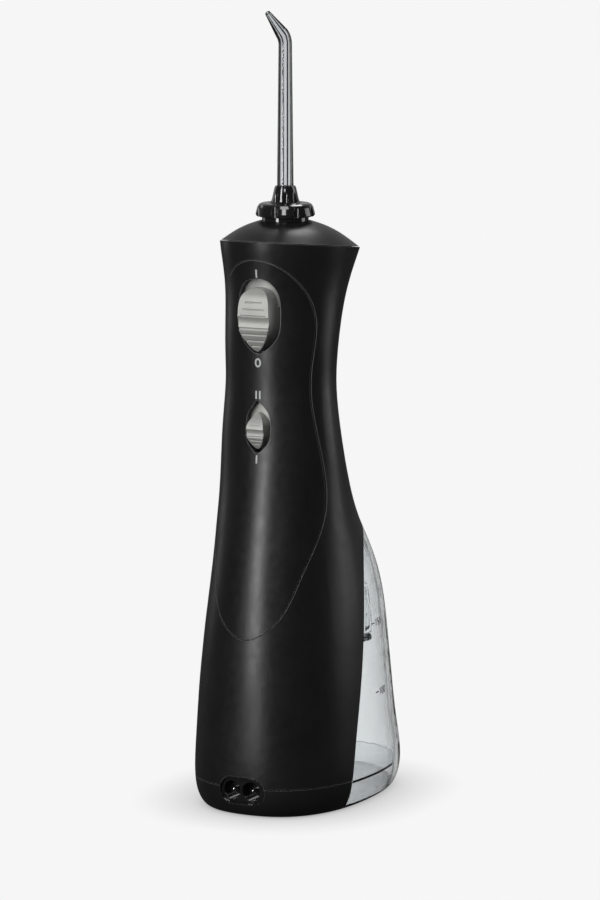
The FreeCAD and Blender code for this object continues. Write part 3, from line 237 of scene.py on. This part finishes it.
class Surface(Shading):
    """One procedural material around a principled shader."""

    def __init__(self, name):
        self.material = bpy.data.materials.new(name)
        super().__init__(self.material)
        self.place = self.add("ShaderNodeTexCoord").outputs["Object"]
        self.shader = self.add("ShaderNodeBsdfPrincipled")
        self.output = self.add("ShaderNodeOutputMaterial")
        self.join(self.shader.outputs[0], self.output.inputs["Surface"])

    def set(self, **values):
        """Sets inputs of the principled shader: Base_Color means "Base Color"."""
        for name, value in values.items():
            self.feed(value, self.shader.inputs[name.replace("_", " ")])

    def noise(self, size, detail=3.0, stretch=(1, 1, 1)):
        """Noise whose blobs are about size metres across; stretch scales it along each axis."""
        mapping = self.add("ShaderNodeMapping")
        mapping.inputs["Scale"].default_value = stretch
        self.join(self.place, mapping.inputs["Vector"])
        node = self.add("ShaderNodeTexNoise")
        node.inputs["Scale"].default_value = 1 / size
        node.inputs["Detail"].default_value = detail
        self.join(mapping.outputs[0], node.inputs["Vector"])
        return node.outputs["Fac"]

    def patchy(self, pattern, colour, dark, light):
        """The colour, from dark times to light times its brightness as the pattern goes."""
        return self.mixed(self.ranged(pattern, 0.0, 1.0), shaded(colour, dark), shaded(colour, light))

    def rounded(self, radius):
        """The surface's normal, with its edges rounded by a radius."""
        bevel = self.add("ShaderNodeBevel", samples=BEVEL_SAMPLES)
        bevel.inputs["Radius"].default_value = radius
        return bevel.outputs[0]

    def worn_and_highlit_edges(self, radius, strength):
        """0 on open faces, rising to strength along edges. The lighter colour mixed in there is handling
        wear, and with a strong edge tone a painted highlight along the edges.
        """
        geometry = self.add("ShaderNodeNewGeometry")
        dot = self.add("ShaderNodeVectorMath", operation="DOT_PRODUCT")
        self.join(self.rounded(radius), dot.inputs[0])
        self.join(geometry.outputs["Normal"], dot.inputs[1])
        return self.ranged(dot.outputs["Value"], strength, 0.0, WORN_AND_HIGHLIT_COSINES)

    def bump(self, *layers, soften=0.0):
        """Normal from (height socket, depth in metres) layers; soften rounds the edges by a radius."""
        normal = self.rounded(soften) if soften else None
        for height, depth in layers:
            node = self.add("ShaderNodeBump")
            node.inputs["Strength"].default_value = 1.0
            node.inputs["Distance"].default_value = depth
            self.join(height, node.inputs["Height"])
            if normal:
                self.join(normal, node.inputs["Normal"])
            normal = node.outputs[0]
        return normal


def shaded(colour, factor):
    """A record colour made lighter or darker, with full alpha."""
    return tuple(min(1.0, channel * factor) for channel in colour[:3]) + (1.0,)


def moulded_plastic(name, colour, roughness, darken=1.0, grain=0.35 * MM, grain_depth=0.006 * MM,
                    edge=0.25, edge_radius=0.35 * MM, edge_tone=2.2, soften=0.12 * MM, coat=0.0,
                    metallic=0.0):
    """Moulded plastic: fine tool grain, slight sink and handling marks, and edges brightened as wear and,
    with a high edge_tone, as a painted highlight.
    """
    surface = Surface(name)
    colour = shaded(colour, darken)
    sink = surface.noise(size=18 * MM, detail=2.0)
    fine = surface.noise(size=grain, detail=2.0)
    handled = surface.noise(size=3 * MM, detail=4.0)
    # Edges lighter than the faces: handling wear, and where edge_tone is high a painted highlight.
    edge_wear_and_highlight = surface.worn_and_highlit_edges(edge_radius, edge)
    tone = surface.patchy(sink, colour, dark=0.86, light=1.14)
    surface.set(Base_Color=surface.mixed(edge_wear_and_highlight, tone, shaded(colour, edge_tone)))
    surface.set(Roughness=surface.ranged(handled, low=roughness * 0.9, high=roughness * 1.12))
    surface.set(Metallic=metallic, Coat_Weight=coat, Coat_Roughness=0.08)
    surface.set(Normal=surface.bump((fine, grain_depth), (sink, 0.02 * MM), soften=soften))
    return surface.material


def metal(name, colour, roughness, stretch=(1, 1, 12)):
    """Turned or drawn metal: streaks along the tool path, faint stains and bright edges."""
    surface = Surface(name)
    streaks = surface.noise(size=0.6 * MM, stretch=stretch)
    stain = surface.noise(size=5 * MM)
    edge_wear_and_highlight = surface.worn_and_highlit_edges(radius=0.2 * MM, strength=0.5)
    tone = surface.patchy(stain, colour, dark=0.8, light=1.1)
    surface.set(Base_Color=surface.mixed(edge_wear_and_highlight, tone, shaded(colour, 1.5)), Metallic=1.0)
    surface.set(Roughness=surface.ranged(streaks, low=roughness * 0.7, high=roughness * 1.35))
    surface.set(Normal=surface.bump((streaks, 0.008 * MM), soften=0.08 * MM))
    return surface.material


def soft_rubber(name, colour, roughness, clear=0.0):
    """Rubber or silicone: dusty, matt and slightly uneven; clear lets some light through."""
    surface = Surface(name)
    dust = surface.noise(size=1.2 * MM, detail=5.0)
    broad = surface.noise(size=6 * MM, detail=2.0)
    edge_wear_and_highlight = surface.worn_and_highlit_edges(radius=0.25 * MM, strength=0.2)
    dusty = surface.ranged(dust, low=0.0, high=0.5)
    tone = surface.mixed(dusty, shaded(colour, 0.9), shaded(colour, 1.35))
    surface.set(Base_Color=surface.mixed(edge_wear_and_highlight, tone, shaded(colour, 1.6)))
    surface.set(Subsurface_Weight=clear * 0.4, Subsurface_Scale=1.5 * MM)
    surface.set(Transmission_Weight=clear * 0.5)
    rough = surface.ranged(broad, low=roughness * 0.9, high=min(1.0, roughness * 1.15))
    surface.set(Roughness=rough, Normal=surface.bump((dust, 0.01 * MM), soften=0.1 * MM))
    return surface.material


def clear_plastic(name, colour, index, roughness, shade, edge_shade, edge_start):
    """Clear moulded plastic: refracting, with faint flow lines and light scuffs. Its colour is scaled by
    shade on open faces, and goes towards edge_shade, a painted shade that darkens its edges, as it is
    seen more edge-on than edge_start."""
    surface = Surface(name)
    flow = surface.noise(size=9 * MM, detail=2.0, stretch=(1, 1, 0.35))
    scuffs = surface.noise(size=0.8 * MM, detail=5.0)
    facing = surface.add("ShaderNodeLayerWeight").outputs["Facing"]
    # Painted shade: darker colour as the plastic turns edge-on, for its dark edges.
    painted_edge_shade = surface.ranged(facing, low=0.0, high=1.0, source=(edge_start, EDGE_ON))
    tone = surface.patchy(flow, colour, dark=shade, light=shade * 1.04)
    surface.set(Base_Color=surface.mixed(painted_edge_shade, tone, shaded(colour, edge_shade)))
    surface.set(Transmission_Weight=1.0, IOR=index)
    surface.set(Roughness=surface.ranged(scuffs, roughness * 0.5, roughness * 1.5, SCUFF_LEVELS))
    surface.set(Normal=surface.bump((flow, 0.05 * MM), (scuffs, 0.002 * MM)))
    return surface.material


def printed_ink(name, colour):
    """Pad-printed ink: slightly raised, a little uneven where the ink is thin."""
    surface = Surface(name)
    patch = surface.noise(size=0.35 * MM, detail=4.0)
    surface.set(Base_Color=surface.patchy(patch, colour, dark=0.78, light=1.0))
    surface.set(Roughness=surface.ranged(patch, low=0.4, high=0.6))
    surface.set(Normal=surface.bump((patch, 0.01 * MM)))
    return surface.material


def wound_copper(name, colour):
    """Enamelled wire wound in rows: fine ridges along the coil."""
    surface = Surface(name)
    ridges = surface.add("ShaderNodeTexWave", bands_direction="Y")
    ridges.inputs["Scale"].default_value = 1 / (1.6 * MM)
    surface.join(surface.place, ridges.inputs["Vector"])
    patch = surface.noise(size=2 * MM)
    surface.set(Base_Color=surface.patchy(patch, colour, dark=0.75, light=1.2))
    surface.set(Metallic=0.9, Roughness=surface.ranged(patch, low=0.22, high=0.38))
    surface.set(Normal=surface.bump((ridges.outputs["Fac"], 0.05 * MM)))
    return surface.material


def circuit_board(name, colour):
    """Solder mask over copper tracks: the tracks show as a lighter, slightly raised maze."""
    surface = Surface(name)
    cells = surface.add("ShaderNodeTexVoronoi", feature="DISTANCE_TO_EDGE", distance="CHEBYCHEV")
    cells.inputs["Scale"].default_value = 1 / (2.2 * MM)
    surface.join(surface.place, cells.inputs["Vector"])
    track = surface.ranged(cells.outputs["Distance"], low=1.0, high=0.0, source=(0.05, 0.09))
    patch = surface.noise(size=4 * MM)
    tone = surface.patchy(patch, colour, dark=0.8, light=1.1)
    surface.set(Base_Color=surface.mixed(track, tone, shaded(colour, 2.0)))
    surface.set(Roughness=surface.ranged(patch, low=0.3, high=0.42))
    surface.set(Normal=surface.bump((track, 0.03 * MM)))
    return surface.material


# Each slot of the record: what it is made of, and that material's settings.
FINISHES = {
    # The black body and panel take a high edge_tone: a painted highlight along their sharp edges, seams
    # and rims.
    "body_black": (moulded_plastic, {"roughness": 0.33, "darken": BLACKER, "edge": 0.8,
                                     "edge_tone": 22.0}),
    "panel_black": (moulded_plastic, {"roughness": 0.33, "darken": BLACKER, "edge": 0.9,
                                      "edge_tone": 34.0, "edge_radius": 0.4 * MM, "soften": 0.3 * MM}),
    "knob_black": (moulded_plastic, {"roughness": 0.10, "grain_depth": 0.0008 * MM, "coat": 0.6,
                                     "soften": 0.2 * MM}),
    "slider_grey": (moulded_plastic, {"roughness": 0.42, "grain_depth": 0.003 * MM, "edge": 0.18,
                                      "soften": 0.2 * MM, "metallic": 0.3}),
    "tip_clear": (clear_plastic, {"index": 1.5, "roughness": 0.03, "shade": 0.86, "edge_shade": 0.12,
                                  "edge_start": 0.35}),
    "tank_clear": (clear_plastic, {"index": 1.5, "roughness": 0.02, "shade": 1.09, "edge_shade": 0.3,
                                   "edge_start": 0.8}),
    "bright_steel": (metal, {"roughness": 0.22}),
    "motor_steel": (metal, {"roughness": 0.34, "stretch": (1, 8, 1)}),
    "copper_winding": (wound_copper, {}),
    "brass_gear": (metal, {"roughness": 0.28, "stretch": (1, 10, 1)}),
    "white_acetal": (moulded_plastic, {"roughness": 0.42, "edge": 0.1}),
    "grey_nylon": (moulded_plastic, {"roughness": 0.5, "grain_depth": 0.01 * MM}),
    "seal_rubber": (soft_rubber, {"roughness": 0.7}),
    "hose_silicone": (soft_rubber, {"roughness": 0.4, "clear": 0.6}),
    "cell_wrap": (moulded_plastic, {"roughness": 0.3, "grain": 1.5 * MM, "coat": 0.4}),
    "contact_nickel": (metal, {"roughness": 0.3, "stretch": (10, 1, 1)}),
    "board_green": (circuit_board, {}),
    "switch_black": (moulded_plastic, {"roughness": 0.4}),
    "lead_red": (soft_rubber, {"roughness": 0.5}),
}


def make_materials():
    """One material per slot of the record, in the record's colour, put on the CAD nodes."""
    made = {}
    for row in RECORD["materials"]:
        make, settings = FINISHES[row["slot"]]
        made[row["slot"]] = make(row["slot"], row["base_color"], **settings)
    for row in RECORD["subparts"]:
        mesh = NODES[row["node"]].data
        mesh.materials.clear()
        mesh.materials.append(made[row["material_slot"]])
    for node in CLEAR_TANK_PARTS:
        NODES[node].data.materials[0] = made["tank_clear"]
    return made


def surface_of(node):
    """Search tree of a CAD node's mesh, for laying marks on it."""
    mesh = NODES[node].data
    return BVHTree.FromPolygons([v.co for v in mesh.vertices], [p.vertices for p in mesh.polygons])


def new_object(name, bm, material):
    """A mesh object in the scene, from bm, which it uses up."""
    mesh = bpy.data.meshes.new(name)
    bm.to_mesh(mesh)
    bm.free()
    mesh.materials.append(material)
    made = bpy.data.objects.new(name, mesh)
    bpy.context.scene.collection.objects.link(made)
    return made


def new_piece(name, bm, material, body):
    """A mesh piece of the flosser that rides on a body."""
    bmesh.ops.recalc_face_normals(bm, faces=bm.faces)
    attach(new_object(name, bm, material), body)


def front_place(tree):
    """Maps (x, z, lift) onto the surface seen from the front."""
    def place(x, z, lift):
        hit = tree.ray_cast(Vector((x, CAD_LOW.y - RAY_START, z)), Vector((0, 1, 0)))[0]
        return (x, hit.y - lift, z)
    return place


def side_place(tree):
    """Maps (y, z, lift) onto the surface seen from the +X side."""
    def place(y, z, lift):
        hit = tree.ray_cast(Vector((CAD_HIGH.x + RAY_START, y, z)), Vector((-1, 0, 0)))[0]
        return (hit.x + lift, y, z)
    return place


def band_sections(bm, line, closed, width, place):
    """Four corners of the band's section at each point of a line."""
    points = [Vector(point) for point in line]
    last = len(points) - 1
    sections = []
    for i, point in enumerate(points):
        before = points[i - 1] if closed or i else point
        after = points[(i + 1) % len(points)] if closed or i < last else point
        along = (after - before).normalized()
        across = Vector((-along.y, along.x)) * (width / 2)
        corners = ((across, MARK_LIFT), (-across, MARK_LIFT), (-across, -MARK_SINK), (across, -MARK_SINK))
        sections.append([bm.verts.new(place(*(point + offset), lift)) for offset, lift in corners])
    return sections


def stroke(bm, line, width, place):
    """A flat raised band of one width along a line of points; the line may close on itself."""
    closed = (Vector(line[0]) - Vector(line[-1])).length < width * CLOSED_GAP
    sections = band_sections(bm, line[:-1] if closed else line, closed, width, place)
    pairs = list(zip(sections, sections[1:]))
    if closed:
        pairs.append((sections[-1], sections[0]))
    else:
        bm.faces.new(sections[0])
        bm.faces.new(sections[-1])
    for here, there in pairs:
        for k in range(4):
            bm.faces.new((here[k], here[k - 1], there[k - 1], there[k]))


def bar_mark(bm, x, z, place):
    """An upright bar, centred at (x, z)."""
    line = [(x, z + BAR_HEIGHT * (k / BAR_STEPS - 0.5)) for k in range(BAR_STEPS + 1)]
    stroke(bm, line, MARK_WIDTH, place)


def ring_mark(bm, x, z, place):
    """A ring, centred at (x, z) and taller than wide."""
    turns = [math.tau * k / RING_STEPS for k in range(RING_STEPS + 1)]
    half_wide = (RING_WIDTH - MARK_WIDTH) / 2
    half_high = (RING_HEIGHT - MARK_WIDTH) / 2
    line = [(x + half_wide * math.cos(t), z + half_high * math.sin(t)) for t in turns]
    stroke(bm, line, MARK_WIDTH, place)


def make_marks(material):
    """On, off, high and low marks above and below the two sliders' windows."""
    place = front_place(surface_of("front_panel"))
    power_low, power_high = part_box("power_slider")
    pressure_low, pressure_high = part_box("pressure_slider")
    bm = bmesh.new()
    bar_mark(bm, 0, power_high.z + BAR_ABOVE_POWER, place)
    ring_mark(bm, 0, power_low.z - RING_BELOW_POWER, place)
    for x in (-BAR_SPACING / 2, BAR_SPACING / 2):
        bar_mark(bm, x, pressure_high.z + BARS_ABOVE_PRESSURE, place)
    bar_mark(bm, 0, pressure_low.z - BAR_BELOW_PRESSURE, place)
    new_piece("panel_marks", bm, material, "handle")


def make_graduation(material):
    """Fill marks with their numbers, on the side of the tank."""
    place = side_place(surface_of("reservoir_tank"))
    bm = bmesh.new()
    for height, number in GRADUATION.items():
        dash = [(GRADUATION_Y + DASH_LENGTH * k / DASH_STEPS, height) for k in range(DASH_STEPS + 1)]
        stroke(bm, dash, DIGIT_STROKE, place)
        for k, digit in enumerate(number):
            middle = GRADUATION_Y + DASH_LENGTH + DIGIT_PITCH * (k + FIRST_DIGIT)
            line = [(middle + a * DIGIT_HEIGHT, height + b * DIGIT_HEIGHT) for a, b in DIGITS[digit]]
            stroke(bm, line, DIGIT_STROKE, place)
    new_piece("tank_graduation", bm, material, "tank")


def make_shelf(material):
    """Clear shelf across the tank near its foot, just inside the walls."""
    tree = surface_of("reservoir_tank")
    low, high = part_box("reservoir_tank")
    middle = Vector((0, (low.y + high.y) / 2 + SHELF_SHIFT, SHELF_HEIGHT))
    bm = bmesh.new()
    bottom = []
    top = []
    for k in range(SHELF_POINTS):
        turn = math.tau * k / SHELF_POINTS
        outward = Vector((math.sin(turn), -math.cos(turn), 0))
        wall = tree.ray_cast(middle + outward * SHELF_RAY_START, -outward)[0]
        rim = wall - outward * SHELF_INSET
        bottom.append(bm.verts.new(rim))
        top.append(bm.verts.new(rim + Vector((0, 0, SHELF_THICKNESS))))
    for k in range(SHELF_POINTS):
        bm.faces.new((bottom[k - 1], bottom[k], top[k], top[k - 1]))
    bm.faces.new(bottom)
    bm.faces.new(top)
    new_piece("tank_shelf", bm, material, "tank")


def aim(thing, place, direction):
    """Puts a camera or lamp at a place, looking along a direction."""
    thing.location = place
    thing.rotation_mode = "QUATERNION"
    thing.rotation_quaternion = direction.to_track_quat("-Z", "Y")


def make_camera():
    """The scene's camera, placed and aimed by the values at the top."""
    camera = bpy.data.objects.new("camera", bpy.data.cameras.new("camera"))
    bpy.context.scene.collection.objects.link(camera)
    bpy.context.scene.camera = camera
    place = Vector((CAMERA_DISTANCE * math.sin(CAMERA_TURN), -CAMERA_DISTANCE * math.cos(CAMERA_TURN),
                    CAMERA_HEIGHT))
    aim(camera, place, CAMERA_AIM - place)
    camera.data.lens = CAMERA_LENS
    camera.data.sensor_width = CAMERA_SENSOR
    camera.data.clip_start = CAMERA_NEAR
    camera.data.clip_end = CAMERA_FAR


def make_world():
    """A white backdrop where it is seen directly; a dim room with a brighter far wall for
    reflections, which gives the black body its pale outline."""
    world = bpy.data.worlds.new("studio")
    bpy.context.scene.world = world
    room = Shading(world)
    direction = room.add("ShaderNodeTexCoord").outputs["Generated"]
    sight = room.along_view(direction)
    reflected = room.ranged(sight, STUDIO_FRONT, STUDIO_BACK, STUDIO_COSINES, "SMOOTHSTEP")
    background = room.add("ShaderNodeBackground")
    background.inputs["Color"].default_value = WHITE
    room.join(room.by_ray(direction, reflected), background.inputs["Strength"])
    output = room.add("ShaderNodeOutputWorld")
    room.join(background.outputs[0], output.inputs["Surface"])


def floor_material():
    """Glows like the backdrop, and darker where the object stands close over it."""
    surface = Surface("floor")
    surface.tree.nodes.remove(surface.shader)
    nearness = surface.add("ShaderNodeAmbientOcclusion", samples=SHADOW_SAMPLES)
    nearness.inputs["Distance"].default_value = SHADOW_REACH
    shadow = surface.ranged(nearness.outputs["AO"], SHADOW_DEPTH, 1.0, (0.0, 1.0))
    direction = surface.add("ShaderNodeNewGeometry").outputs["Incoming"]
    level = surface.add("ShaderNodeMath", operation="MULTIPLY")
    surface.join(surface.by_ray(direction, FLOOR_GLOW), level.inputs[0])
    surface.join(shadow, level.inputs[1])
    light = surface.add("ShaderNodeEmission")
    surface.join(level.outputs[0], light.inputs["Strength"])
    surface.join(light.outputs[0], surface.output.inputs["Surface"])
    return surface.material


def make_floor():
    """A pale floor as bright as the backdrop."""
    bm = bmesh.new()
    half = FLOOR_SIZE / 2
    corners = ((-half, -half), (half, -half), (half, half), (-half, half))
    bm.faces.new([bm.verts.new((x, y, -FLOOR_DROP)) for x, y in corners])
    new_object("floor", bm, floor_material())


def soft_light(name, azimuth, elevation, width, height, power, aim_height=BODY_MIDDLE):
    """A rectangular softbox aimed at the object's axis, at aim_height above the floor."""
    light = bpy.data.lights.new(name, "AREA")
    light.shape = "RECTANGLE"
    light.size = width
    light.size_y = height
    light.energy = power
    lamp = bpy.data.objects.new(name, light)
    bpy.context.scene.collection.objects.link(lamp)
    turn = math.radians(azimuth)
    rise = math.radians(elevation)
    away = Vector((math.sin(turn) * math.cos(rise), -math.cos(turn) * math.cos(rise), math.sin(rise)))
    aim(lamp, Vector((0, 0, aim_height)) + away * LIGHT_DISTANCE, -away)
    lamp.visible_camera = False
    lamp.visible_transmission = False


def main():
    bpy.context.scene.view_settings.view_transform = "Standard"
    made = make_materials()
    make_shelf(made["tank_clear"])
    make_marks(printed_ink("mark_ink", MARK_INK))
    make_graduation(printed_ink("graduation_ink", GRADUATION_INK))
    make_world()
    make_floor()
    for name, settings in LIGHTS.items():
        soft_light(name, **settings)
    make_camera()


main()
